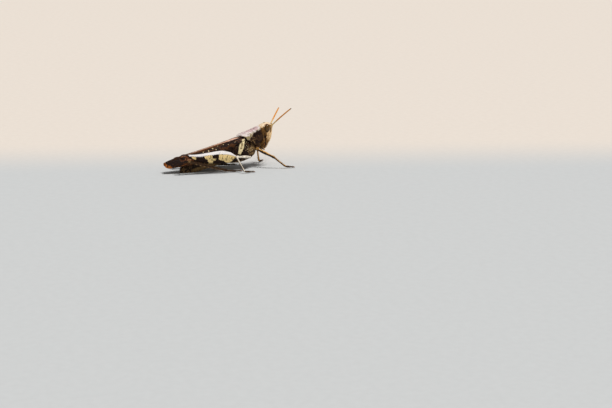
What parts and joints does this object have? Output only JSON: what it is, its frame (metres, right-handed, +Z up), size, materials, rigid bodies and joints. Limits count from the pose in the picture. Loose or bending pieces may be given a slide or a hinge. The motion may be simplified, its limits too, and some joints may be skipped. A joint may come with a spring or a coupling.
{
  "type": "locust",
  "caption": "Life-size still model of a brown short-horned locust at rest, wings folded and hind legs drawn up, head raised and feelers forward.",
  "frame": {"origin": "on the floor, under the middle of the whole animal's box", "axes": "the head faces -Y and +Z is up; the animal's left is +X; feet and the end of the abdomen stand on z = 0"},
  "size_m": [0.0117, 0.0293, 0.0139],
  "materials": {
    "back": "pitted horny shield, pinkish white above and dark brown at the sides",
    "flank": "dark brown side plates with pale flecks and one cream band",
    "head": "brown horny head, tan in front and whitish cream above",
    "eye": "dark brown, glossy, finely faceted",
    "feeler": "orange, segmented",
    "wing": "brown leathery membrane with veins and dark and pale specks",
    "hindwing": "thin folded membrane, smoky straw",
    "thigh": "white upper half, yellowish tan and dark brown patches below, brown knee",
    "leg": "brown, pale on the upper side",
    "belly": "mottled brown rings"
  },
  "bodies": {
    "root": {"abdomen_1": "belly", "abdomen_2": "belly", "abdomen_3": "belly", "abdomen_4": "belly", "abdomen_5": "belly", "abdomen_6": "belly", "abdomen_7": "belly", "abdomen_8": "belly", "abdomen_tip": "belly", "antenna_left": "feeler", "antenna_right": "feeler", "coxa_fore_left": "leg", "coxa_fore_right": "leg", "coxa_hind_left": "leg", "coxa_hind_right": "leg", "coxa_mid_left": "leg", "coxa_mid_right": "leg", "eye_left": "eye", "eye_right": "eye", "femur_fore_left": "leg", "femur_fore_right": "leg", "femur_hind_left": "thigh", "femur_hind_right": "thigh", "femur_mid_left": "leg", "femur_mid_right": "leg", "head": "head", "hindwing_left": "hindwing", "hindwing_right": "hindwing", "labial_palp_left": "head", "labial_palp_right": "head", "labrum": "head", "maxillary_palp_left": "head", "maxillary_palp_right": "head", "mesothorax": "flank", "metathorax": "flank", "pronotum": "back", "prosternum": "flank", "tarsus_fore_left": "leg", "tarsus_fore_right": "leg", "tarsus_hind_left": "leg", "tarsus_hind_right": "leg", "tarsus_mid_left": "leg", "tarsus_mid_right": "leg", "tibia_fore_left": "leg", "tibia_fore_right": "leg", "tibia_hind_left": "leg", "tibia_hind_right": "leg", "tibia_mid_left": "leg", "tibia_mid_right": "leg", "wing_left": "wing", "wing_right": "wing"}
  },
  "joints": []
}
